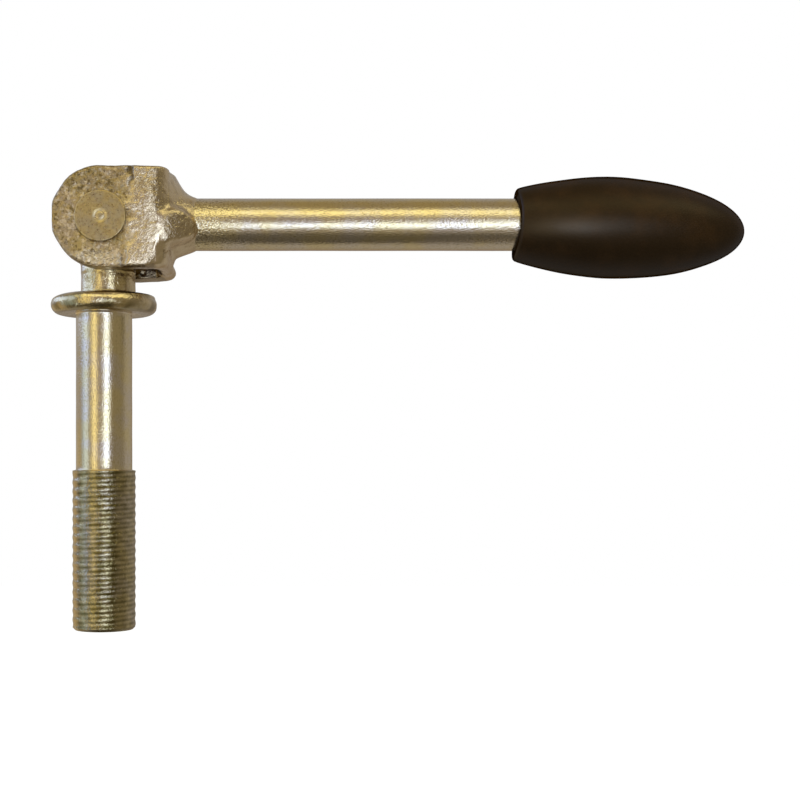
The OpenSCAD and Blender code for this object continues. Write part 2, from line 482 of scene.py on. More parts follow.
    def _worn(self, tree: bpy.types.NodeTree, film: bpy.types.NodeSocket,
              wear: dict[str, bpy.types.NodeSocket]) -> bpy.types.NodeSocket:
        """Lightens the film where the piece is rubbed and where light is painted, and darkens it where grime lies
        and where shade is painted.

        Args:
            tree: the material's nodes.
            film: the clean colour.
            wear: the piece's wear.

        Returns:
            The colour socket.
        """
        film = add_node(tree, "ShaderNodeMix", {"data_type": "RGBA"}, {"B": linear(self.rubbed)},
                        {"Factor": wear["rubbed"], "A": film}).outputs["Result"]
        return add_node(tree, "ShaderNodeMix", {"data_type": "RGBA"}, {"B": linear(self.grime)},
                        {"Factor": wear["grime"], "A": film}).outputs["Result"]

    def _worn_shine(self, tree: bpy.types.NodeTree, shine: bpy.types.NodeSocket,
                    wear: dict[str, bpy.types.NodeSocket]) -> bpy.types.NodeSocket:
        """Makes rough skin duller by a set amount, and rubbed metal and painted light a little brighter than that.

        Args:
            tree: the material's nodes.
            shine: the clean metal's roughness.
            wear: the piece's wear.

        Returns:
            The roughness socket.
        """
        dull = add_node(tree, "ShaderNodeMath", {"operation": "MULTIPLY_ADD"}, {1: self.extra_rough},
                        {0: wear["rough"], 2: shine}).outputs["Value"]
        return add_node(tree, "ShaderNodeMath", {"operation": "MULTIPLY_ADD"}, {1: -self.rubbed_shine},
                        {0: wear["rubbed"], 2: dull}).outputs["Value"]

    def _shine(self, tree: bpy.types.NodeTree, worked: bpy.types.NodeSocket) -> bpy.types.NodeSocket:
        """Roughness between its two limits, following the grain.

        Args:
            tree: the material's nodes.
            worked: object coordinates stretched along the grain.

        Returns:
            The roughness socket.
        """
        uneven = add_node(tree, "ShaderNodeTexNoise", None,
                          {"Scale": 0.6 / (self.grain_mm * MM), "Detail": 3.0}, {"Vector": worked})
        return add_node(tree, "ShaderNodeMapRange", None,
                        {"From Min": 0.3, "From Max": 0.7, "To Min": self.roughness[0],
                         "To Max": self.roughness[1]}, {"Value": uneven.outputs["Fac"]}).outputs["Result"]

    def _relief(self, tree: bpy.types.NodeTree, place: bpy.types.NodeSocket, worked: bpy.types.NodeSocket,
                wear: dict[str, bpy.types.NodeSocket] | None) -> bpy.types.NodeSocket:
        """Fine relief of the steel: grain everywhere, with pits or turning rings where the piece has them.

        Args:
            tree: the material's nodes.
            place: object coordinates.
            worked: object coordinates stretched along the grain.
            wear: the piece's wear; its rough share sets how deep the pits are.

        Returns:
            The normal socket.
        """
        grain = add_node(tree, "ShaderNodeTexNoise", None,
                         {"Scale": 1.0 / (self.grain_mm * MM), "Detail": 3.0, "Roughness": 0.6},
                         {"Vector": worked}).outputs["Fac"]
        normal = add_node(tree, "ShaderNodeBump", None,
                          {"Strength": 1.0, "Distance": self.relief_mm * MM}, {"Height": grain})
        if wear:
            tree.links.new(wear["grain"], normal.inputs["Strength"])
        if self.pit_mm > 0.0:
            cells = add_node(tree, "ShaderNodeTexNoise", None,
                             {"Scale": 1.0 / (self.pit_mm * MM), "Detail": 2.0, "Roughness": 0.5},
                             {"Vector": place}).outputs["Fac"]
            pits = add_node(tree, "ShaderNodeMapRange", {"interpolation_type": "SMOOTHSTEP"},
                            {"From Min": 0.36, "From Max": 0.56}, {"Value": cells}).outputs["Result"]
            normal = add_node(tree, "ShaderNodeBump", None,
                              {"Strength": 1.0, "Distance": self.pit_depth_mm * MM},
                              {"Height": pits, "Normal": normal.outputs["Normal"]})
            if wear:
                tree.links.new(wear["rough"], normal.inputs["Strength"])
        if self.ring_mm > 0.0:
            centred = add_node(tree, "ShaderNodeMapping", {"vector_type": "POINT"},
                               {"Location": tuple(-c for c in self.ring_centre)},
                               {"Vector": place}).outputs["Vector"]
            flat = add_node(tree, "ShaderNodeVectorMath", {"operation": "MULTIPLY"},
                            {1: (1.0, 0.0, 1.0)}, {0: centred}).outputs["Vector"]
            radius = add_node(tree, "ShaderNodeVectorMath", {"operation": "LENGTH"}, None,
                              {0: flat}).outputs["Value"]
            phase = add_node(tree, "ShaderNodeMath", {"operation": "MULTIPLY"},
                             {1: 2.0 * math.pi / (self.ring_mm * MM)}, {0: radius}).outputs["Value"]
            rings = add_node(tree, "ShaderNodeMath", {"operation": "SINE"}, None,
                             {0: phase}).outputs["Value"]
            normal = add_node(tree, "ShaderNodeBump", None,
                              {"Strength": 0.6, "Distance": self.ring_depth_mm * MM},
                              {"Height": rings, "Normal": normal.outputs["Normal"]})
        return normal.outputs["Normal"]


@dataclass(frozen=True)
class MouldedRubber:
    """Moulded black rubber: a very dark brown-black skin with a soft broad sheen and a fine matt grain.

    The mould's own grain is too fine to show, so grain_mm draws it coarser.
    """

    name: str
    skin: str
    dust: str
    roughness: float
    gloss: tuple[float, float]
    grain_mm: float
    grain_depth_mm: float
    cloud_mm: float = 6.0
    sheen: tuple[float, float, float, float] = (1.0, 0.78, 0.5, 1.0)

    def material(self) -> bpy.types.Material:
        """Builds the material.

        Returns:
            The finished material.
        """
        made, tree = blank_material(self.name)
        place = add_node(tree, "ShaderNodeTexCoord").outputs["Object"]
        clouds = add_node(tree, "ShaderNodeTexNoise", None,
                          {"Scale": 1.0 / (self.cloud_mm * MM), "Detail": 5.0, "Roughness": 0.6},
                          {"Vector": place}).outputs["Fac"]
        film = add_node(tree, "ShaderNodeMapRange", {"interpolation_type": "SMOOTHSTEP"},
                        {"From Min": 0.42, "From Max": 0.75}, {"Value": clouds}).outputs["Result"]
        colour = add_node(tree, "ShaderNodeMix", {"data_type": "RGBA"},
                          {"A": linear(self.skin), "B": linear(self.dust)}, {"Factor": film})
        grain = add_node(tree, "ShaderNodeTexNoise", None,
                         {"Scale": 1.0 / (self.grain_mm * MM), "Detail": 3.0}, {"Vector": place})
        normal = add_node(tree, "ShaderNodeBump", None,
                          {"Strength": 1.0, "Distance": self.grain_depth_mm * MM},
                          {"Height": grain.outputs["Fac"]})
        shine = add_node(tree, "ShaderNodeMapRange", None,
                         {"To Min": self.roughness - 0.06, "To Max": self.roughness + 0.08},
                         {"Value": clouds}).outputs["Result"]
        turned = add_node(tree, "ShaderNodeLayerWeight", None, {"Blend": 0.5}).outputs["Facing"]
        read = add_node(tree, "ShaderNodeAttribute", {"attribute_name": WEAR})
        polished = add_node(tree, "ShaderNodeSeparateColor", None, None, {"Color": read.outputs["Color"]})
        most = add_node(tree, "ShaderNodeMapRange", None, {"To Min": self.gloss[0], "To Max": self.gloss[1]},
                        {"Value": polished.outputs["Green"]}).outputs["Result"]
        gloss = add_node(tree, "ShaderNodeMapRange", None,
                         {"From Min": 0.25, "From Max": 0.75, "To Max": 0.0},
                         {"Value": turned, "To Min": most}).outputs["Result"]
        skin = add_node(tree, "ShaderNodeBsdfPrincipled", None,
                        {"IOR": 1.5, "Specular Tint": self.sheen},
                        {"Base Color": colour.outputs["Result"], "Roughness": shine,
                         "Specular IOR Level": gloss, "Normal": normal.outputs["Normal"]})
        add_node(tree, "ShaderNodeOutputMaterial", None, None, {"Surface": skin.outputs["BSDF"]})
        return made


def place_piece(piece: bpy.types.Object, body: Body, node: str, material: bpy.types.Material) -> None:
    """Dresses a finished piece, hangs it on its body and hides the solid of the frame that it stands for.

    Args:
        piece: the finished object.
        body: the body that it rides on.
        node: the solid that it stands for.
        material: its finish.
    """
    piece.data.materials.clear()
    piece.data.materials.append(material)
    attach(piece, body.value)
    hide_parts(node)
    LOG.info("%s: %d faces for %s on %s", piece.name, len(piece.data.polygons), node, body.value)


MOUNTS = {row["name"]: row for row in frame["record"]["mounts"]}


class Layout:
    """Places and sizes that the pieces share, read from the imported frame."""

    pivot = np.array(frame["joints"][0]["pos_m"], dtype=float)
    thread_r = MOUNTS["thread"]["dims"]["r_mm"] * MM
    thread_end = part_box("clamp_screw")[0].z
    thread_top = MOUNTS["thread"]["pos_m"][2] + MOUNTS["thread"]["dims"]["length_mm"] * MM / 2
    collar_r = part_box("clamp_screw")[1].y
    eye_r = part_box("clamp_screw")[1].z - pivot[2]
    fork_low, fork_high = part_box("fork")
    bar_low, bar_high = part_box("handle_bar")
    bar_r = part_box("handle_bar")[1].y
    pin_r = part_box("pivot_pin")[1].x - pivot[0]
    pin_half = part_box("pivot_pin")[1].y


def across_pivot(grid: np.ndarray) -> np.ndarray:
    """Lays a grid that runs up Z along the pivot's axis instead, with its top towards the camera."""
    return np.stack([grid[..., 0] + Layout.pivot[0], -grid[..., 2], grid[..., 1] + Layout.pivot[2]], axis=-1)


@dataclass
class ClampScrew:
    """Screw from the thread's end to the eye, as one surface of sections round its axis."""

    pitch: float = 1.75 * MM
    thread_depth: float = 0.12 * MM
    thread_chamfer: float = 0.5 * MM
    thread_run_in: float = 0.2 * MM
    groove_fade: tuple[float, float] = (0.1, 0.5)
    shank_r: float = 5.35 * MM
    collar_t: float = 3.4 * MM
    collar_root: float = 0.35 * MM
    collar_from: tuple[float, float] = (5.8 * MM, 7.0 * MM)
    collar_tilt: float = -0.004
    collar_sag: float = 0.15 * MM
    neck_r: float = 5.2 * MM
    neck_fillet: float = 0.8 * MM
    neck_end: float = 9.6 * MM
    eye_foot: float = 9.4 * MM
    eye_squared: tuple[float, float] = (-7.6 * MM, -4.0 * MM)
    eye_power: tuple[float, float] = (2.0, 8.0)
    eye_half: float = 5.1 * MM
    pin_clearance: float = 0.05 * MM
    drill_half: float = 8.0 * MM
    roll_mm: float = 0.012
    collar_roll_mm: float = 0.006
    dent_depth: float = 0.018 * MM
    residue: float = 0.48
    flank_painted_shade: float = 0.34
    sharp_deg: float = 50.0
    columns: int = 136
    rows_per_pitch: int = 24

    def phase(self, turn: np.ndarray, height: np.ndarray) -> np.ndarray:
        """Angle of the thread's wave: one turn for each pitch of height, less the turn about the axis."""
        return 2.0 * math.pi * height / self.pitch - turn

    def thread_radius(self, turn: np.ndarray, height: np.ndarray) -> np.ndarray:
        """Radius of the threaded stretch.

        The phase is the height in pitches less the turn, so that the helix is right-handed. Crest and root
        are those of one even, shallow wave. The form fades out below the shank at its upper end and is cut
        back by the chamfer at its lower one.

        Args:
            turn: angle round the axis, in radians.
            height: place along the axis.

        Returns:
            Radius for each pair of turn and height.
        """
        form = 0.5 + 0.5 * np.cos(self.phase(turn, height))
        below_top = Layout.thread_top - height
        step = Layout.thread_r - self.shank_r
        crest = self.shank_r + step * smoothstep(0.0, self.thread_run_in, below_top)
        fade = smoothstep(self.groove_fade[0] * self.pitch, self.groove_fade[1] * self.pitch, below_top)
        groove = self.thread_depth * (1.0 - form) * fade
        chamfer = Layout.thread_r - self.thread_chamfer + (height - Layout.thread_end)
        return np.minimum(crest - groove, chamfer)

    def outline(self) -> np.ndarray:
        """Outline of shank, collar and neck as [radius, height] rows, upwards from the thread."""
        rim = self.collar_t / 2.0
        rim_r = Layout.collar_r - rim
        root = self.collar_root
        top = self.collar_t
        fillet = self.neck_fillet
        return np.vstack([
            line((self.shank_r, Layout.thread_top + 0.05 * MM), (self.shank_r, -root), 40),
            arc((self.shank_r + root, -root), root, 180, 90, 6),
            line((self.shank_r + root, 0.0), (rim_r, 0.0), 4)[1:],
            arc((rim_r, rim), rim, -90, 90, 30)[1:],
            line((rim_r, top), (self.neck_r + fillet, top), 4)[1:],
            arc((self.neck_r + fillet, top + fillet), fillet, 270, 180, 10)[1:],
            line((self.neck_r, top + fillet), (self.neck_r, Layout.pivot[2] - self.neck_end), 10)[1:],
        ])

    def eye_sections(self, turn: np.ndarray) -> np.ndarray:
        """Sections of the eye: from the round neck to a flat-sided disc that closes over the pivot.

        Each section is a superellipse whose half width follows the eye's circle, and whose exponent grows
        from a circle's to that of a rounded rectangle.

        Args:
            turn: angles round the section.

        Returns:
            Grid of rows, columns and three coordinates.
        """
        foot = Layout.pivot[2] - self.eye_foot
        quarter = np.linspace(0, math.pi / 2, 46)[1:]
        rise = np.concatenate([np.linspace(foot, Layout.pivot[2], 46),
                               Layout.pivot[2] + Layout.eye_r * np.sin(quarter)])
        reach = rise - Layout.pivot[2]
        disc = np.sqrt(np.clip(Layout.eye_r ** 2 - reach ** 2, 0.0, None))
        width = np.where(reach < 0.0, (disc ** 12 + self.neck_r ** 12) ** (1 / 12), disc)
        width = np.where(reach < 0.0, np.minimum(width, Layout.eye_r), width)
        blend = smoothstep(self.eye_squared[0], self.eye_squared[1], reach)
        exponent = self.eye_power[0] + (self.eye_power[1] - self.eye_power[0]) * blend
        depth = self.neck_r + (self.eye_half - self.neck_r) * blend
        cosine, sine = np.cos(turn), np.sin(turn)
        power = (2.0 / exponent)[:, None]
        x = Layout.pivot[0] + width[:, None] * np.sign(cosine) * np.abs(cosine) ** power
        y = depth[:, None] * np.sign(sine) * np.abs(sine) ** power
        return np.stack([x, y, np.broadcast_to(rise[:, None], x.shape)], axis=-1)

    def build(self) -> bpy.types.Object:
        """Builds the screw and bores its eye.

        Returns:
            The finished object.
        """
        turn = np.linspace(0.0, 2.0 * math.pi, self.columns, endpoint=False)
        length = Layout.thread_top - Layout.thread_end
        rows = int(length / self.pitch * self.rows_per_pitch)
        height = np.linspace(Layout.thread_end, Layout.thread_top, rows)[:, None] + 0.0 * turn
        radius = self.thread_radius(turn[None, :], height)
        thread = np.stack([radius * np.cos(turn), radius * np.sin(turn), height], axis=-1)
        rim = (radius[0].mean(), Layout.thread_end)
        end = revolved(line((0.0, Layout.thread_end), rim, 8)[:-1], self.columns)
        grid = np.concatenate([end, thread, self.body(turn), self.eye_sections(turn)])
        return self.bored(surface("clamp_screw_body", grid, self.sharp_deg))

    def body(self, turn: np.ndarray) -> np.ndarray:
        """Shank, collar and neck: the outline carried round, less the waves and dents of its forging.

        The neck is shifted to stand under the pivot, and the collar's lower half sags and leans a little.

        Args:
            turn: angles round the axis.

        Returns:
            Grid of rows, columns and three coordinates.
        """
        body = revolved(self.outline(), self.columns)
        shift = Layout.pivot[0] * smoothstep(0.75 * self.collar_t, 1.1 * self.collar_t, body[..., 2])
        body[..., 0] += shift
        relief = wobble(body.reshape(-1, 3), 9.0 * MM, 5).reshape(body.shape[:2])
        outward = np.stack([np.cos(turn), np.sin(turn), 0.0 * turn], axis=-1)
        on_collar = smoothstep(*self.collar_from, np.hypot(body[..., 0] - shift, body[..., 1]))
        rolled = (self.roll_mm + self.collar_roll_mm * on_collar) * MM
        body -= outward * (rolled * (1.0 + relief).clip(0.0))[..., None]
        forged = smoothstep(-0.2 * MM, 0.6 * MM, body[..., 2])
        dents = wobble(body.reshape(-1, 3), 2.4 * MM, 6).reshape(body.shape[:2])
        body -= outward * (self.dent_depth * forged * (1.2 + dents).clip(0.0))[..., None]
        body[..., 2] -= self.collar_tilt * body[..., 0] * on_collar
        lower = 1.0 - smoothstep(0.3, 0.9, body[..., 2] / self.collar_t)
        body[..., 2] -= self.collar_sag * on_collar * lower
        return body

    def bored(self, blank: bpy.types.Object) -> bpy.types.Object:
        """Cuts the pin's bore through the eye.

        Args:
            blank: the screw with a solid eye.

        Returns:
            The screw with its bore.
        """
        bore_r = Layout.pin_r + self.pin_clearance
        half = self.drill_half
        grid = revolved(np.array([[0.0, -half], [bore_r, -half], [bore_r, half], [0.0, half]]), 96)
        drill = surface("drill", across_pivot(grid))
        cut = blank.modifiers.new("bore", "BOOLEAN")
        cut.operation = "DIFFERENCE"
        cut.solver = "EXACT"
        cut.object = drill
        mesh = evaluated_mesh(blank)
        blank.modifiers.clear()
        blank.data = mesh
        mesh.name = blank.name
        bpy.data.objects.remove(drill)
        tidy_mesh(mesh, self.sharp_deg)
        self.weather(mesh)
        return blank

    def thread_residue_and_shade(self, points: np.ndarray, darkening_kept: np.ndarray) -> np.ndarray:
        """Share of residue and painted shade on the thread.

        It is uneven residue with painted shade laid over it: two heavier stripes down the front, and more in
        the flanks, by the square of the wave's sine. It thins out to the right.

        Args:
            points: the screw's points.
            darkening_kept: share of the darkening that is kept, which falls to a tenth at the left edge, a painted
                highlight.

        Returns:
            One share for each point.
        """
        x = points[:, 0]
        turn = np.arctan2(points[:, 1], x)
        flank = np.sin(self.phase(turn, points[:, 2])) ** 2
        uneven = 0.07 * wobble(points * [1.0, 1.0, 2.0], 2.6 * MM, 9)
        # painted shade: two darker stripes down the front of the thread
        painted_shade_stripes = 0.18 * bell(x, 0.1 * MM, 0.8 * MM) + 0.2 * bell(x, 2.6 * MM, 1.1 * MM)
        right = smoothstep(2.4 * MM, 3.4 * MM, x)
        spread = self.residue + painted_shade_stripes * (points[:, 1] < 0.0) - 0.1 * right + uneven
        # painted shade in the thread's flanks, by the square of the wave's sine
        return darkening_kept * spread + (0.25 + 0.75 * darkening_kept) * self.flank_painted_shade * flank

    def weather(self, mesh: bpy.types.Mesh) -> None:
        """Marks residue and painted shade on the thread, painted shade under the collar, and the forged skin of
        collar, neck and eye.

        The thread's left edge is kept light, a painted highlight, and the strip beside it is tinted warm, a
        painted reflection; the neck's left side is smoother, with less residue, and lighter than the rest of
        the skin, a painted highlight.

        Args:
            mesh: the finished screw.
        """
        points = read_points(mesh)
        x, height = points[:, 0], points[:, 2]
        threaded = smoothstep(0.0, 0.3 * MM, Layout.thread_top - height)
        # painted highlight: the thread's left edge keeps only a tenth of its darkening
        darkening_kept = 0.1 + 0.9 * smoothstep(-0.84, -0.66, x / Layout.thread_r)
        # painted highlight on the thread's left edge, and a warm painted reflection tint on the strip beside it
        painted_edge_light = np.maximum(1.0 - darkening_kept, bell(x / Layout.thread_r, -0.6, 0.12))
        patches = smoothstep(-0.6, 1.2, wobble(points, 4.0 * MM, 8))
        forged = smoothstep(0.0, 0.4 * MM, height)
        collar = 1.0 - smoothstep(self.collar_t, self.collar_t + 1.5 * MM, height)
        # painted highlight: the neck's left side gets less residue and less warm tint, so it is lighter and bluer
        clean = smoothstep(-2.4 * MM, -3.4 * MM, x) * (1.0 - collar)
        skin = forged * (1.0 - 0.85 * clean)
        rim = smoothstep(6.2 * MM, 7.0 * MM, np.hypot(x, points[:, 1]))
        # painted shade on the collar's underside and the lower part of its rim
        below = rim * (1.0 - smoothstep(0.9 * MM, 1.9 * MM, height))
        under = 0.5 * (1.0 - smoothstep(0.0, 0.9 * MM, height))
        grime = threaded * self.thread_residue_and_shade(points, darkening_kept) + skin * patches * (0.12 + 0.34 * collar)
        grime += below * np.maximum(under, 0.28 * forged)
        rubbed = 0.48 * skin + 0.8 * threaded * painted_edge_light
        write_wear(mesh, grime, rubbed, 0.22 * forged * (1.0 - 0.5 * clean) + 0.3 * threaded)

    def dress(self) -> bpy.types.Material:
        """Rolled and turned steel under yellow-passivated zinc, darker in the thread."""
        # the grime colour also serves as painted shade, and the rubbed colour as painted light and reflection tint
        return ZincPlate("yellow_zinc_rolled_steel", "#d0bb8a", "#cab99f", "#b5a06c", (0.08, 0.13),
                         Grain.ALONG_Z, 0.25, 0.042, pit_mm=0.6, pit_depth_mm=0.1, cloud_mm=6.0,
                         worn=True, extra_rough=0.3, fleck_mm=0.7, flecks=("#5f4a28", "#ccb072"),
                         grime="#5e5229", rubbed="#ba9f62").material()


@dataclass
class WeldBead:
    """Weld between fork and bar: a hollow-faced bead above, a root run all round and a lobe on each side."""

    length: float = 4.6 * MM
    rise: float = 1.3 * MM
    bead_r: float = 8.9 * MM
    hollow: float = 1.95
    crown: float = 9.46 * MM
    narrowing: float = 0.14
    root: float = 1.75 * MM
    side_root: float = 0.5 * MM
    lobe_start: float = 4.4 * MM
    lobe_tip: float = 5.1 * MM
    lobe_reach: tuple[float, float] = (9.44 * MM, 4.9 * MM)
    lobe_drop: tuple[float, float] = (3.0 * MM, 1.8 * MM)
    lobe_half: float = 4.6 * MM
    lobe_edge: float = 2.6 * MM
    lobe_under: float = 1.5
    lobe_fall: float = 2.3
    lobe_halvings: int = 24
    lobe_widest: float = 14.0 * MM
    blend: float = 0.2 * MM
    toe_in: float = 0.12 * MM
    inset: float = 3.6 * MM
    overrun: float = 0.9 * MM
    columns: int = 220
    rows: int = 130

    def radius(self, along: np.ndarray, round_bar: np.ndarray) -> np.ndarray:
        """Distance of the weld's skin from the bar's axis.

        The larger of three forms, blended where they cross: a bead whose section is a narrowed circle set
        above the axis and whose radius falls along a hollow curve, a root run that falls in a straight line
        to the bar, and the lobes.

        Args:
            along: distance from the fork's end face.
            round_bar: angle round the bar from its top.

        Returns:
            Radius for each pair of distance and angle.
        """
        share = np.clip(along / self.length, 0.0, 1.0)
        up, side = np.cos(round_bar), np.abs(np.sin(round_bar))
        toe = Layout.bar_r - self.rise
        bead_r = toe + (self.bead_r - toe) * (1.0 - share) ** self.hollow
        bead = np.sqrt(bead_r ** 2 - (self.rise * side).clip(0.0, bead_r) ** 2)
        bead = self.rise * up + bead * (1.0 - self.narrowing * side ** 2 * (1.0 - share))
        bead = np.minimum(bead, self.crown / up.clip(0.05))
        root = Layout.bar_r + (self.root + self.side_root * side ** 2) * (1.0 - share)
        skin = self.blended(self.blended(bead, root), self.lobe(along, up, side))
        return skin - self.toe_in * smoothstep(self.length - 0.5 * MM, self.length + 0.3 * MM, along)

    def lobe(self, along: np.ndarray, up: np.ndarray, side: np.ndarray) -> np.ndarray:
        """Distance of the lobes' skin from the bar's axis.

        A lobe leaves the fork's side level and falls to the bar along a power curve. Seen from the side it
        is a tongue whose half height shrinks to nothing at its tip; its face is full and turns down tightly
        at its border, with the ninth power of the height's share. The radius is where a ray from the axis
        leaves the lobe, found by halving.

        Args:
            along: distance from the fork's end face.
            up: upward share of each ray from the axis.
            side: sideways share of each ray.

        Returns:
            Radius for each pair of distance and ray.
        """
        share = np.clip((along + self.lobe_start) / (self.lobe_tip + self.lobe_start), 0.0, 1.0)
        reach = self.lobe_reach[0] + (self.lobe_reach[1] - self.lobe_reach[0]) * share ** self.lobe_fall
        half = self.lobe_half * np.sqrt(1.0 - share ** 4).clip(0.03)
        drop = self.lobe_drop[0] + (self.lobe_drop[1] - self.lobe_drop[0]) * smoothstep(0.2, 0.65, share)
        low = 0.0 * (up + share)
        high = low + self.lobe_widest
        for _ in range(self.lobe_halvings):
            middle = 0.5 * (low + high)
            off = middle * up + drop
            off = np.where(off < 0.0, -self.lobe_under * off, off)
            face = reach - self.lobe_edge * (off / half).clip(0.0, 2.0) ** 9
            within = middle * side < face
            low = np.where(within, middle, low)
            high = np.where(within, high, middle)
        return low - 4.0 * MM * smoothstep(0.6, 0.35, side)

    def blended(self, first: np.ndarray, second: np.ndarray) -> np.ndarray:
        """The larger of two radii, eased where they cross: half of sum and root of difference and blend."""
        return 0.5 * (first + second + np.hypot(first - second, self.blend))

    def form(self) -> bpy.types.Object:
        """Builds the weld from inside the fork to just beyond its toe on the bar, closed at both ends.

        Returns:
            The raw weld, which the fork takes in.
        """
        along = np.linspace(-self.inset, self.length + self.overrun, self.rows)[:, None]
        turn = np.linspace(0.0, 2.0 * math.pi, self.columns, endpoint=False)[None, :]
        radius = self.radius(along, turn)
        flat = np.zeros_like(radius)
        grid = np.stack([along + flat, radius * np.sin(turn), radius * np.cos(turn)], axis=-1)
        caps = grid[[0, -1]] * [1.0, 0.0, 0.0]
        grid = np.concatenate([caps[:1], grid, caps[1:]])
        grid += [Layout.fork_high.x, 0.0, Layout.pivot[2]]
        return surface("weld_form", grid, 60.0)

    def dress(self) -> bpy.types.Material:
        """Weld metal under yellow-passivated zinc: the forging's film over a thin scale."""
        return forged_zinc("yellow_zinc_weld_metal")


@dataclass(frozen=True)
class ForkZones:
    """Where each point of the forged skin lies, and its share in the areas that were worked differently.

    Attributes:
        across: distance along the bar from the pivot.
        rise: height above the pivot.
        front: share that faces along the pivot's axis, as the cheeks do.
        strip: share in the smoother strip of the cheeks by the bar.
        molten: share in the weld metal and in what it ran over.
        scaly: share in weld metal with a thin scale, which leaves out the bright corner below.
        inside: whether the point lies in the slot.
    """

    across: np.ndarray
    rise: np.ndarray
    front: np.ndarray
    strip: np.ndarray
    molten: np.ndarray
    scaly: np.ndarray
    inside: np.ndarray


@dataclass
class Fork:
    """Forged fork with the weld on its end: one skin of both, eased where they meet, then parted again."""

    weld: WeldBead
    voxel: float = 0.22 * MM
    smoothing: int = 3
    parting: float = 0.3 * MM
    skin_in: float = 0.05 * MM
    top_in: float = 0.005 * MM
    fold_x: float = 5.6 * MM
    fold_half: float = 0.4 * MM
    fold_drop: float = 4.6 * MM
    fold_depth: float = 0.28 * MM
    slot_half: float = 5.8 * MM
    web_face: float = 9.5 * MM
    strip: tuple[float, float] = (5.8 * MM, 9.6 * MM)
    strip_tilt: float = 0.06
    molten_from: tuple[float, float] = (9.6 * MM, 10.4 * MM)
    bright_to: tuple[float, float] = (12.2 * MM, 13.0 * MM)
    bevel_low: float = 6.3 * MM
    bevel_tilt: float = 0.17
    bevel: tuple[float, float] = (-3.4 * MM, 3.8 * MM)
    bevel_edge: float = 0.4 * MM
    heel_in: float = 0.8 * MM
    heel_low: float = 0.35 * MM
    nose_flat: float = 0.22 * MM
    sharp_deg: float = 60.0

    def build(self) -> tuple[bpy.types.Object, bpy.types.Object]:
        """Builds the skin of fork and weld, works the relief of their making into it and parts it.

        Returns:
            The fork and the weld.
        """
        form = self.weld.form()
        made = remade("fork", "fork_forging", self.voxel, self.smoothing, form)
        bpy.data.objects.remove(form)
        points = self.heeled(self.softened(made.data))
        write_points(made.data, points)
        normals = read_normals(made.data)
        zones = self.zones(points, normals)
        fold = self.fold(points)
        self.weather(made.data, points, normals, fold, zones)
        points = points + normals * (self.relief(points, zones) - self.skin_in)[:, None]
        points = points + fold + self.dressed_face(points, normals, zones.strip)
        points[:, 2] = np.minimum(points[:, 2], Layout.fork_high.z - self.top_in)
        write_points(made.data, points)
        return self.parted(made)

    def zones(self, points: np.ndarray, normals: np.ndarray) -> ForkZones:
        """Tells the areas of the skin apart, with ragged borders.

        Args:
            points: the skin's points.
            normals: their normals.

        Returns:
            Each point's place and shares.
        """
        across = points[:, 0] - Layout.pivot[0]
        rise = points[:, 2] - Layout.pivot[2]
        ragged = wobble(points, 3.0 * MM, 15) * 0.7 * MM
        molten = smoothstep(*self.molten_from, across + 0.3 * ragged)
        bright = (1.0 - smoothstep(*self.bright_to, points[:, 0])) * (1.0 - smoothstep(0.0, 2.0 * MM, rise))
        return ForkZones(
            across=across,
            rise=rise,
            front=smoothstep(0.7, 0.95, np.abs(normals[:, 1])),
            strip=smoothstep(self.strip[0] - 2.4 * MM, self.strip[0] + 1.0 * MM, across + ragged),
            molten=molten,
            scaly=molten * (1.0 - bright),
            inside=(np.abs(points[:, 1]) < self.slot_half) & (across < self.web_face + 0.4 * MM),
        )

    def relief(self, points: np.ndarray, zones: ForkZones) -> np.ndarray:
        """Height of the skin's relief: broad hollows, pits of forging on the cheeks and streaks on the weld.

        Args:
            points: the skin's points.
            zones: their places and shares.

        Returns:
            One height along the normal for each point.
        """
        hollow = wobble(points, 6.0 * MM, 11) * 0.05 * MM * (1.0 - 0.6 * zones.molten)
        pits = wobble(points, 1.3 * MM, 13) * 0.03 * MM
        pits -= wobble(points, 0.8 * MM, 12).clip(0.0, 2.5) * 0.04 * MM
        pits *= (0.25 + 0.75 * zones.front) * (1.0 - 0.6 * zones.strip) * (1.0 - zones.molten)
        streaks = wobble(points * [1.0, 1.0, 0.15], 0.6 * MM, 16) * 0.008 * MM * zones.molten
        streaks += wobble(points, 1.9 * MM, 17) * 0.013 * MM * zones.molten
        return hollow + pits + streaks

    def weather(self, mesh: bpy.types.Mesh, points: np.ndarray, normals: np.ndarray, fold: np.ndarray,
                zones: ForkZones) -> None:
        """Marks residue and painted shade, and rubbed metal and painted light, each the largest of its causes, and
        the rough skin and grain left.

        Args:
            mesh: the skin of fork and weld.
            points: its points before the relief.
            normals: their normals.
            fold: the moves that press in the fold.
            zones: the points' places and shares.
        """
        across, rise = zones.across, zones.rise
        facing = smoothstep(0.55, 0.9, np.abs(normals[:, 1]))
        outer = np.maximum(smoothstep(3.0 * MM, 5.5 * MM, rise),
                           0.6 * smoothstep(3.5 * MM, 5.5 * MM, -across))
        # painted shade in the fold groove
        painted_fold_shade = 0.9 * np.linalg.norm(fold, axis=1) / self.fold_depth
        # painted shade on the walls inside the slot
        painted_slot_shade = zones.inside * (0.85 - 0.3 * smoothstep(-6.6 * MM, -8.2 * MM, rise))
        # painted shadow in a ring round the pin
        painted_pin_ring = 0.6 * self.pin_shadow(across, rise) * zones.front
        # painted shade on faces that turn downwards
        painted_shade_below = 0.5 * smoothstep(0.3, 0.8, -normals[:, 2]) * (1.0 - 0.9 * zones.molten)
        # darker on the weld's faces that face the front
        on_lobes = 0.26 * zones.scaly * facing
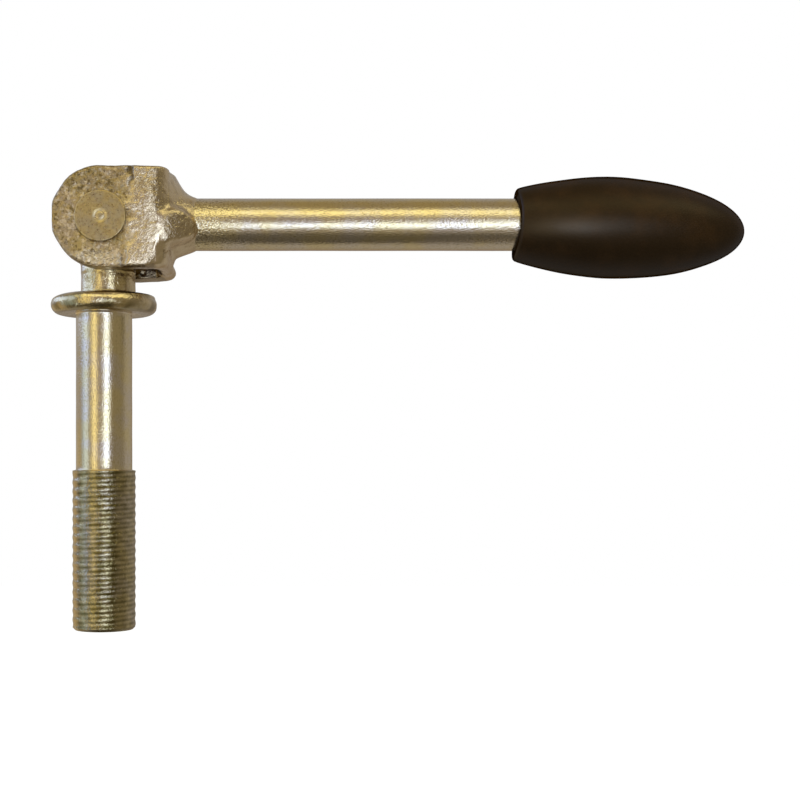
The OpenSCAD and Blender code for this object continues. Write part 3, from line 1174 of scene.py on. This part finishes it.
        # darker towards the top edge and the left end of the cheeks
        on_rim = 0.22 * outer * (1.0 - zones.strip)
        grime = np.maximum.reduce([painted_fold_shade, painted_slot_shade, painted_pin_ring, painted_shade_below, on_lobes, on_rim])
        strip = zones.strip * (0.46 + 0.34 * (1.0 - smoothstep(-5.0 * MM, 7.0 * MM, rise)))
        # random tone of the weld metal, and painted light on its flares that face away from the front
        weld_tone_and_lit_flares = 0.74 + 0.2 * wobble(points, 1.9 * MM, 18) + 0.25 * zones.scaly * (1.0 - facing)
        bevelled = smoothstep(self.bevel_low, self.bevel_low + 0.6 * MM, -rise) * (across < self.bevel[1])
        rubbed = np.maximum.reduce([strip, weld_tone_and_lit_flares.clip(0.0, 1.0) * zones.molten, 0.5 * bevelled])
        rough = (1.0 - 0.6 * zones.strip) * (1.0 - zones.molten) * (1.0 - 0.85 * zones.inside)
        grain = (1.0 - 0.6 * (zones.molten - zones.scaly) - 0.1 * zones.scaly) * (1.0 - 0.55 * zones.inside)
        write_wear(mesh, grime, rubbed, rough + 0.45 * zones.scaly, grain)

    def softened(self, mesh: bpy.types.Mesh) -> np.ndarray:
        """Eases the skin where the weld runs out on the fork and at the heel, and fills the pin's rim.

        Args:
            mesh: the skin of fork and weld.

        Returns:
            The moved points.
        """
        points = read_points(mesh)
        along = points[:, 0] - Layout.fork_high.x
        rise = points[:, 2] - Layout.pivot[2]
        run_out = smoothstep(-4.0 * MM, -2.4 * MM, along) * (1.0 - smoothstep(1.4 * MM, 3.0 * MM, along))
        points = eased(mesh, points, 0.8 * run_out, 8)
        corner = smoothstep(-4.2 * MM, -2.8 * MM, along) * (1.0 - smoothstep(-1.4 * MM, 0.4 * MM, along))
        points = eased(mesh, points, 0.9 * corner * (rise < 6.5 * MM), 30)
        low_end = smoothstep(-6.4 * MM, -8.2 * MM, rise) * smoothstep(-4.2 * MM, -2.2 * MM, along)
        near = 1.0 - 0.7 * smoothstep(0.0, 4.0 * MM, points[:, 1])
        points = eased(mesh, points, 0.9 * low_end * near, 60)
        from_pin = np.hypot(points[:, 0] - Layout.pivot[0], rise)
        rim = (from_pin < Layout.pin_r + 0.9 * MM) & (np.abs(points[:, 1]) > Layout.fork_high.y - 0.7 * MM)
        level = np.sign(points[:, 1]) * (Layout.fork_high.y - 0.02 * MM)
        points[:, 1] = np.where(rim, level, points[:, 1])
        return points

    def heeled(self, points: np.ndarray) -> np.ndarray:
        """Draws the end face in above the heel, lets the far cheek hang and flattens the nose's shoulders.

        Args:
            points: the skin's points.

        Returns:
            The moved points.
        """
        along = points[:, 0] - Layout.fork_high.x
        rise = points[:, 2] - Layout.pivot[2]
        far = smoothstep(-0.5 * MM, 3.0 * MM, points[:, 1])
        band = smoothstep(-8.7 * MM, -6.4 * MM, rise) * (1.0 - smoothstep(-4.6 * MM, -3.0 * MM, rise))
        moved = points.copy()
        moved[:, 0] -= self.heel_in * far * band * smoothstep(-3.0 * MM, -1.0 * MM, along)
        hang = smoothstep(-8.0 * MM, -9.2 * MM, rise) * smoothstep(4.0 * MM, 8.5 * MM, points[:, 1])
        moved[:, 2] -= self.heel_low * hang
        across = points[:, 0] - Layout.pivot[0]
        radius = np.hypot(across, rise)
        turn = np.degrees(np.arctan2(np.abs(rise), -across))
        flat = self.nose_flat * bell(turn, 33.0, 15.0) * smoothstep(6.0 * MM, 8.6 * MM, radius)
        moved[:, 0] -= flat * across / radius.clip(1e-6)
        moved[:, 2] -= flat * rise / radius.clip(1e-6)
        return moved

    def pin_shadow(self, across: np.ndarray, rise: np.ndarray) -> np.ndarray:
        """Share of painted shadow round the pin: a narrow ring that is widest to the lower right."""
        radius = np.hypot(across, rise)
        facing = (0.8 * across - 0.6 * rise) / radius.clip(1e-9)
        width = (0.25 + 0.45 * facing.clip(0.0)) * MM
        return bell(radius, Layout.pin_r + 0.1 * MM, width) * (0.35 + 0.65 * facing.clip(0.0))

    def parted(self, whole: bpy.types.Object) -> tuple[bpy.types.Object, bpy.types.Object]:
        """Cuts the skin across just beyond the fork's end face and closes both halves.

        Args:
            whole: the skin of fork and weld; it becomes the fork.

        Returns:
            The fork and the weld.
        """
        bead = put_in_scene("weld_run", whole.data.copy())
        bead.data.name = bead.name
        for piece, is_fork in ((whole, True), (bead, False)):
            work = bmesh.new()
            work.from_mesh(piece.data)
            every = work.verts[:] + work.edges[:] + work.faces[:]
            cut = bmesh.ops.bisect_plane(work, geom=every, dist=1e-7, plane_no=(1.0, 0.0, 0.0),
                                         plane_co=(Layout.fork_high.x + self.parting, 0.0, 0.0),
                                         clear_outer=is_fork, clear_inner=not is_fork)
            rim = [part for part in cut["geom_cut"] if isinstance(part, bmesh.types.BMEdge)]
            bmesh.ops.holes_fill(work, edges=rim, sides=0)
            work.to_mesh(piece.data)
            work.free()
            tidy_mesh(piece.data, self.sharp_deg)
        return whole, bead

    def dressed_face(self, points: np.ndarray, normals: np.ndarray, strip: np.ndarray) -> np.ndarray:
        """Moves that tilt two areas of the front cheek: the smoother strip by the bar and the lower bevel.

        Each area's push grows in proportion to the distance from the line where it starts, so that it leans
        out of the plane of the cheek, and dies away across its borders.

        Args:
            points: the fork's points.
            normals: their normals, which tell the outer face from the others.
            strip: each point's share in the smoother strip.

        Returns:
            A move for each point.
        """
        across = points[:, 0] - Layout.pivot[0]
        below = Layout.pivot[2] - points[:, 2]
        front = smoothstep(0.2, 0.8, -normals[:, 1]) * (points[:, 1] < Layout.fork_low.y + 1.5 * MM)
        lean = self.strip_tilt * np.clip(self.strip[1] - across, 0.0, None) * strip
        span = between(self.bevel, self.bevel_edge, across)
        bevel = self.bevel_tilt * np.clip(below - self.bevel_low, 0.0, None) * span
        push = front * (bevel - lean)
        return np.stack([0.0 * push, push, 0.0 * push], axis=-1)

    def fold(self, points: np.ndarray) -> np.ndarray:
        """Moves that press the forging fold into the front cheek, a groove that runs down from its top edge.

        Args:
            points: the fork's points.

        Returns:
            A move for each point.
        """
        crooked = wobble(points, 2.0 * MM, 14) * 0.22 * MM
        across = np.abs(points[:, 0] - Layout.pivot[0] - self.fold_x + crooked)
        below = Layout.fork_high.z - points[:, 2]
        front = points[:, 1] < Layout.fork_low.y + 3.0 * MM
        width = 1.0 - smoothstep(0.3 * self.fold_half, 1.9 * self.fold_half, across)
        run = 1.0 - smoothstep(0.5 * self.fold_drop, self.fold_drop, below)
        press = front * width * run * self.fold_depth
        return np.stack([0.0 * press, press, 0.0 * press], axis=-1)

    def dress(self) -> bpy.types.Material:
        """Rough forged steel under yellow-passivated zinc, peppered with small pits."""
        return forged_zinc("yellow_zinc_forged_steel")


def forged_zinc(name: str) -> bpy.types.Material:
    """Finish that fork and weld share, so that no seam shows where one runs out on the other."""
    # the default grime colour also serves as painted shade, and the rubbed colour as painted light on the weld's
    # flares
    return ZincPlate(name, "#a38a56", "#a58d68", "#7c673e", (0.16, 0.26), Grain.EVEN, 0.3, 0.06,
                     pit_mm=0.7, pit_depth_mm=0.07, cloud_mm=4.0, worn=True, extra_rough=0.14, fleck_mm=0.75,
                     flecks=("#5c4828", "#d8c09a"), rubbed="#cdb68e").material()


@dataclass
class PivotPin:
    """Turned pin with eased ends and the worn mark of a turning centre in each."""

    chamfer: float = 0.22 * MM
    ring_r: float = 0.85 * MM
    ring_width: float = 0.32 * MM
    ring_depth: float = 0.11 * MM
    seat_fill: float = 0.05 * MM
    seat_half: float = 5.6 * MM
    columns: int = 96

    def build(self) -> bpy.types.Object:
        """Builds the pin by carrying half its outline round the pivot's axis, with the two ends alike.

        The end is flat but for a bell-shaped ring groove about its middle.

        Returns:
            The finished object.
        """
        half, radius = Layout.pin_half, Layout.pin_r
        seated = radius + self.seat_fill
        face = np.linspace(0.0, seated - self.chamfer, 60)
        groove = self.ring_depth * bell(face, self.ring_r, self.ring_width)
        front = np.vstack([
            np.stack([face, half - groove], axis=-1)[:-1],
            arc((seated - self.chamfer, half - self.chamfer), self.chamfer, 80, 0, 6),
            [[seated, self.seat_half], [radius, self.seat_half]],
        ])
        outline = np.vstack([front, (front * [1.0, -1.0])[::-1]])
        return surface("pivot_pin_turned", across_pivot(revolved(outline, self.columns)), 35.0)

    def dress(self) -> bpy.types.Material:
        """Turned steel under yellow-passivated zinc, with turning rings that are drawn coarser than real."""
        return ZincPlate("yellow_zinc_turned_steel", "#b89d64", "#b09b72", "#877042", (0.24, 0.38),
                         Grain.EVEN, 0.45, 0.03, cloud_mm=2.5, ring_mm=0.45,
                         ring_centre=tuple(Layout.pivot)).material()


@dataclass
class LeverBar:
    """Drawn round bar from the fork into the grip."""

    chamfer: float = 0.8 * MM
    dent_depth: float = 0.010 * MM
    heated: tuple[float, float] = (3.0 * MM, 20.0 * MM)
    columns: int = 96
    rows: int = 150

    def build(self) -> bpy.types.Object:
        """Builds the bar as a tube along X whose radius wanders by a few microns, closed at both ends.

        Returns:
            The finished object.
        """
        low, high, radius = Layout.bar_low.x, Layout.bar_high.x, Layout.bar_r
        outline = np.vstack([
            [[0.0, low]],
            line((radius, low), (radius, high - self.chamfer), self.rows),
            [[radius - self.chamfer, high], [0.0, high]],
        ])
        along = along_x(revolved(outline, self.columns))
        drawn = along.reshape(-1, 3) * [0.15, 1.0, 1.0]
        dent = wobble(drawn, 4.0 * MM, 31).reshape(along.shape[:2]).clip(-2.0, 2.0) * self.dent_depth
        along[..., 1:] *= 1.0 - ((2.0 * self.dent_depth - dent) / radius)[..., None]
        along[..., 2] += Layout.pivot[2]
        made = surface("lever_bar_drawn", along, 40.0)
        self.weather(made.data)
        return made

    def weather(self, mesh: bpy.types.Mesh) -> None:
        """Marks the skin that the weld's heat left rough, which fades out along the bar."""
        from_fork = read_points(mesh)[:, 0] - Layout.fork_high.x
        heated = 1.0 - smoothstep(*self.heated, from_fork)
        write_wear(mesh, 0.0 * heated, 0.0 * heated, heated)

    def dress(self) -> bpy.types.Material:
        """Cold-drawn steel under yellow-passivated zinc, with fine lines along the bar."""
        return ZincPlate("yellow_zinc_drawn_steel", "#d0ba88", "#c9b89c", "#ae9865", (0.08, 0.13),
                         Grain.ALONG_X, 0.26, 0.05, pit_mm=0.45, pit_depth_mm=0.025, cloud_mm=8.0,
                         worn=True, extra_rough=0.06, fleck_mm=0.4, flecks=("#8a7448", "#d8c8a6")).material()


@dataclass
class Grip:
    """Soft spindle-shaped grip: a lip round the bar, a swelling back and a long rounded nose."""

    belly: float = 17.6 * MM
    belly_r: float = 9.7 * MM
    mouth_r: float = 6.9 * MM
    lip: float = 0.8 * MM
    length: float = 44.08 * MM
    depth: float = 34.6 * MM
    droop_deg: float = 2.0
    notch: float = 0.6 * MM
    notch_run: float = 7.0 * MM
    bore_chamfer: float = 0.3 * MM
    swell_power: float = 1.7
    uneven_depth: float = 0.03 * MM
    polish_place: tuple[float, float] = (9.0 * MM, -1.6 * MM)
    polish_spread: tuple[float, float] = (6.5 * MM, 1.8 * MM)
    columns: int = 128

    def outline(self) -> np.ndarray:
        """Outer outline as [radius, distance from the mouth] rows, from the lip to the nose."""
        back = np.linspace(self.lip * 0.9, self.belly, 40)
        narrow = ((self.belly - back) / self.belly) ** self.swell_power
        swell = self.belly_r - (self.belly_r - self.mouth_r) * narrow
        turn = np.linspace(0.0, math.pi / 2, 64)[1:]
        nose = np.stack([self.belly_r * np.cos(turn),
                         self.belly + (self.length - self.belly) * np.sin(turn)], axis=-1)
        lip = arc((self.mouth_r - self.lip + 0.15 * MM, self.lip), self.lip, 270, 350, 10)
        return np.vstack([lip, np.stack([swell, back], axis=-1)[1:], nose])

    def build(self) -> bpy.types.Object:
        """Builds the grip: the bore is true to the bar, and the outside hangs a little from the mouth on.

        Returns:
            The finished object.
        """
        mouth = Layout.bar_high.x - self.depth
        bore = np.vstack([
            [[0.0, self.depth]],
            line((Layout.bar_r, self.depth), (Layout.bar_r, self.bore_chamfer), 24),
            [[Layout.bar_r + self.bore_chamfer, 0.0]],
        ])
        inner = along_x(revolved(bore, self.columns))
        outer = along_x(revolved(self.outline(), self.columns))
        turn = math.radians(self.droop_deg)
        hung = outer.copy()
        hung[..., 0] = outer[..., 0] * math.cos(turn) + outer[..., 2] * math.sin(turn)
        hung[..., 2] = outer[..., 2] * math.cos(turn) - outer[..., 0] * math.sin(turn)
        uneven = wobble(hung.reshape(-1, 3), 11.0 * MM, 41).reshape(hung.shape[:2]).clip(-2.0, 2.0)
        hung[..., 1:] *= 1.0 - (self.uneven_depth * (2.0 - uneven) / self.belly_r)[..., None]
        grid = np.concatenate([inner, hung])
        side = (grid[..., 1] / np.hypot(grid[..., 1], grid[..., 2]).clip(1e-6)) ** 2
        grid[..., 0] += self.notch * side * (1.0 - smoothstep(0.0, self.notch_run, grid[..., 0]))
        grid += [mouth, 0.0, Layout.pivot[2]]
        made = surface("grip_moulded", grid, 50.0)
        self.weather(made.data, mouth)
        return made

    def weather(self, mesh: bpy.types.Mesh, mouth: float) -> None:
        """Marks the skin that hands have polished, on both sides behind the mouth."""
        points = read_points(mesh) - [mouth, 0.0, Layout.pivot[2]]
        polished = bell(points[:, 0], self.polish_place[0], self.polish_spread[0])
        polished *= bell(points[:, 2], self.polish_place[1], self.polish_spread[1])
        write_wear(mesh, 0.0 * polished, polished, 0.0 * polished)

    def dress(self) -> bpy.types.Material:
        """Moulded black rubber with a trace of brown."""
        return MouldedRubber("moulded_black_rubber", "#1a0f03", "#251605", 0.38, (0.2, 0.75),
                             0.35, 0.02).material()


@dataclass(frozen=True)
class Panel:
    """A soft-edged area of the studio surround, by compass angle and height as seen from the object."""

    azimuth: tuple[float, float]
    elevation: tuple[float, float]
    light: tuple[float, float, float]
    edge: float = 5.0

    def weight(self, around: np.ndarray, up: np.ndarray) -> np.ndarray:
        """Share of the panel: 1 inside, falling to 0 across its edges; a full round has no edge.

        Args:
            around: azimuth of each direction, in degrees.
            up: elevation of each direction, in degrees.

        Returns:
            One share for each direction.
        """
        across = between(self.azimuth, self.edge, around)
        if self.azimuth == (-180, 180):
            across = np.ones_like(around)
        high = between(self.elevation, self.edge, up)
        if self.elevation == (-90, 90):
            high = np.ones_like(up)
        return across * high


@dataclass(frozen=True)
class Lamp:
    """A plain soft disc lamp, by place and width in metres and power in watts."""

    name: str
    place: tuple[float, float, float]
    width: float
    power: float


@dataclass
class Studio:
    """Camera, floor, lamps and the surround that the metal mirrors."""

    photo_px: int = 800
    mm_per_px: float = 0.192
    screw_px: float = 104.2
    seat_px: float = 313.9
    eye_px: tuple[float, float] = (330.0, 470.0)
    distance: float = 260.0 * MM
    sensor: float = 36.0
    floor_drop: float = 0.25
    floor_half: float = 3.0
    surround_r: float = 1.4
    surround_centre: tuple[float, float, float] = (0.03, 0.0, 0.0)
    lamp_aim: tuple[float, float, float] = (0.05, 0.0, 0.0)
    soft_lamps: tuple[Lamp, ...] = (
        Lamp("key_lamp", (-0.45, -0.75, 0.75), 0.7, 9.0),
        Lamp("fill_lamp", (0.9, -0.6, 0.5), 0.9, 6.0),
    )
    panels: tuple[Panel, ...] = (
        Panel((-180, 180), (-90, 90), (0.46, 0.455, 0.46)),
        Panel((-45, 36), (-32, 30), (0.44, 0.41, 0.43), 5.0),
        Panel((36, 99), (-90, 50), (0.31, 0.29, 0.24), 4.0),
        Panel((-100, 99), (-100, -44), (0.15, 0.145, 0.135), 6.0),
        Panel((45, 99), (-78, -46), (0.31, 0.275, 0.22), 6.0),
        Panel((-160, -100), (-40, -1), (0.66, 0.57, 0.41), 5.0),
        Panel((-180, 180), (-100, -80), (0.10, 0.095, 0.09), 3.0),
        Panel((-180, 180), (66, 100), (0.41, 0.36, 0.25), 5.0),
        Panel((152, 190), (-38, 12), (0.36, 0.31, 0.25), 6.0),
        Panel((-190, -152), (-38, 12), (0.36, 0.31, 0.25), 6.0),
        Panel((-80, 80), (32, 57), (1.85, 1.85, 1.35), 5.0),
        Panel((-40, -24), (-32, 26), (1.85, 1.8, 1.35), 2.5),
        Panel((-92, -61), (-40, 50), (0.62, 0.82, 1.28), 4.0),
        Panel((-76, -62), (-40, 50), (1.1, 1.42, 2.2), 3.0),
        Panel((-130, -60), (8.5, 30), (1.35, 1.85, 3.6), 2.0),
        Panel((-8, 10), (-21, -6), (3.0, 3.8, 5.8), 4.0),
        Panel((11, 25), (-16, 12), (3.0, 3.8, 5.8), 2.0),
    )

    def build(self) -> None:
        """Sets the stage, the lamps, the camera and the colour handling."""
        self.camera()
        self.floor()
        self.surround()
        self.lamps()
        self.backdrop()
        bpy.context.scene.view_settings.view_transform = "Standard"

    def camera(self) -> None:
        """Places the camera straight in front, with the lens shifted to frame the object as photographed."""
        lens = bpy.data.cameras.new("camera")
        lens.sensor_width = self.sensor
        lens.lens = self.sensor * self.distance / (self.photo_px * self.mm_per_px * MM)
        lens.shift_x = (self.photo_px / 2 - self.eye_px[0]) / self.photo_px
        lens.shift_y = (self.eye_px[1] - self.photo_px / 2) / self.photo_px
        lens.clip_start = 0.01
        eye = put_in_scene("camera", lens)
        eye.location = ((self.eye_px[0] - self.screw_px) * self.mm_per_px * MM, -self.distance,
                        (self.seat_px - self.eye_px[1]) * self.mm_per_px * MM)
        eye.rotation_euler = (math.pi / 2, 0.0, 0.0)
        bpy.context.scene.camera = eye

    def floor(self) -> None:
        """Lays a plain pale floor below the held part, white to the camera but for the shade on it."""
        half = self.floor_half
        low = CAD_BOX[0].z - self.floor_drop
        corners = [(-half, -half, low), (half, -half, low), (half, half, low), (-half, half, low)]
        mesh = bpy.data.meshes.new("floor")
        mesh.from_pydata(corners, [], [(0, 1, 2, 3)])
        board = put_in_scene("floor", mesh)
        made, tree = blank_material("pale_floor_paint")
        paint = add_node(tree, "ShaderNodeBsdfDiffuse", None, {"Color": linear("#f4f4f2")})
        glow = add_node(tree, "ShaderNodeEmission", None, {"Color": (1, 1, 1, 1), "Strength": 0.62})
        both = add_node(tree, "ShaderNodeAddShader", None, None,
                        {0: paint.outputs["BSDF"], 1: glow.outputs["Emission"]})
        rays = add_node(tree, "ShaderNodeLightPath")
        mix = add_node(tree, "ShaderNodeMixShader", None, None,
                       {0: rays.outputs["Is Camera Ray"], 1: paint.outputs["BSDF"],
                        2: both.outputs["Shader"]})
        add_node(tree, "ShaderNodeOutputMaterial", None, None, {"Surface": mix.outputs["Shader"]})
        mesh.materials.append(made)
        board.visible_glossy = False

    def surround(self) -> None:
        """Builds the studio surround: a sphere that only reflections see, lit in soft-edged panels.

        Each point's light is the base level, over which every panel is laid with a weight that falls from 1
        to 0 across its edge in azimuth and in elevation.
        """
        azimuth = np.linspace(-180.0, 180.0, 241)
        elevation = np.linspace(-90.0, 90.0, 121)
        around, up = np.meshgrid(azimuth, elevation)
        light = np.zeros(around.shape + (3,))
        for panel in self.panels:
            weight = panel.weight(around, up)[..., None]
            light = light * (1.0 - weight) + weight * np.array(panel.light)
        a, e = np.radians(around), np.radians(up)
        outward = np.stack([np.sin(a) * np.cos(e), -np.cos(a) * np.cos(e), np.sin(e)], axis=-1)
        points = np.array(self.surround_centre) + self.surround_r * outward
        rows, columns = around.shape
        index = np.arange(rows * columns).reshape(rows, columns)
        corners = [index[:-1, :-1], index[:-1, 1:], index[1:, 1:], index[1:, :-1]]
        faces = np.stack(corners, axis=-1).reshape(-1, 4)
        mesh = bpy.data.meshes.new("studio_surround")
        mesh.from_pydata(points.reshape(-1, 3).tolist(), [], faces.tolist())
        paint = mesh.attributes.new("light", "FLOAT_COLOR", "POINT")
        colours = np.concatenate([light, np.ones(around.shape + (1,))], axis=-1)
        paint.data.foreach_set("color", colours.astype(np.float32).ravel())
        dome = put_in_scene("studio_surround", mesh)
        made, tree = blank_material("studio_panels")
        level = add_node(tree, "ShaderNodeAttribute", {"attribute_name": "light"})
        glow = add_node(tree, "ShaderNodeEmission", None, {"Strength": 1.0},
                        {"Color": level.outputs["Color"]})
        add_node(tree, "ShaderNodeOutputMaterial", None, None, {"Surface": glow.outputs["Emission"]})
        mesh.materials.append(made)
        dome.visible_camera = False
        dome.visible_diffuse = False
        dome.visible_shadow = False

    def lamps(self) -> None:
        """Hangs two plain soft lamps for the matt surfaces; reflections see the surround instead."""
        for row in self.soft_lamps:
            lamp = bpy.data.lights.new(row.name, "AREA")
            lamp.shape = "DISK"
            lamp.size = row.width
            lamp.energy = row.power
            hung = put_in_scene(row.name, lamp)
            hung.location = row.place
            aim = np.array(self.lamp_aim) - np.array(row.place)
            yaw = math.atan2(aim[1], aim[0]) - math.pi / 2
            tilt = math.atan2(np.hypot(aim[0], aim[1]), -aim[2])
            hung.rotation_euler = (tilt, 0.0, yaw)
            hung.visible_glossy = False

    def backdrop(self) -> None:
        """Makes the world white to the camera and to clear reflections, and a plain soft light otherwise."""
        world = bpy.data.worlds.new("white_studio")
        world.use_nodes = True
        tree = world.node_tree
        tree.nodes.clear()
        rays = add_node(tree, "ShaderNodeLightPath")
        seen = add_node(tree, "ShaderNodeMath", {"operation": "MAXIMUM"}, None,
                        {0: rays.outputs["Is Camera Ray"], 1: rays.outputs["Is Glossy Ray"]})
        seen = add_node(tree, "ShaderNodeMath", {"operation": "MAXIMUM"}, None,
                        {0: seen.outputs["Value"], 1: rays.outputs["Is Transmission Ray"]})
        level = add_node(tree, "ShaderNodeMapRange", None, {"To Min": 0.45, "To Max": 1.0},
                         {"Value": seen.outputs["Value"]})
        sky = add_node(tree, "ShaderNodeBackground", None, {"Color": (1, 1, 1, 1)},
                       {"Strength": level.outputs["Result"]})
        add_node(tree, "ShaderNodeOutputWorld", None, None, {"Surface": sky.outputs["Background"]})
        bpy.context.scene.world = world


def main() -> None:
    """Builds and dresses every piece, then the studio round them."""
    logging.basicConfig(level=logging.INFO, format="%(name)s: %(message)s")
    for maker, body, node in ((ClampScrew(), Body.SCREW, "clamp_screw"),
                              (PivotPin(), Body.HANDLE, "pivot_pin"),
                              (LeverBar(), Body.HANDLE, "handle_bar"),
                              (Grip(), Body.HANDLE, "grip")):
        place_piece(maker.build(), body, node, maker.dress())
    fork = Fork(WeldBead())
    forging, bead = fork.build()
    place_piece(forging, Body.HANDLE, "fork", fork.dress())
    place_piece(bead, Body.HANDLE, "weld_bead", fork.weld.dress())
    Studio().build()


if __name__ == "__main__":
    main()
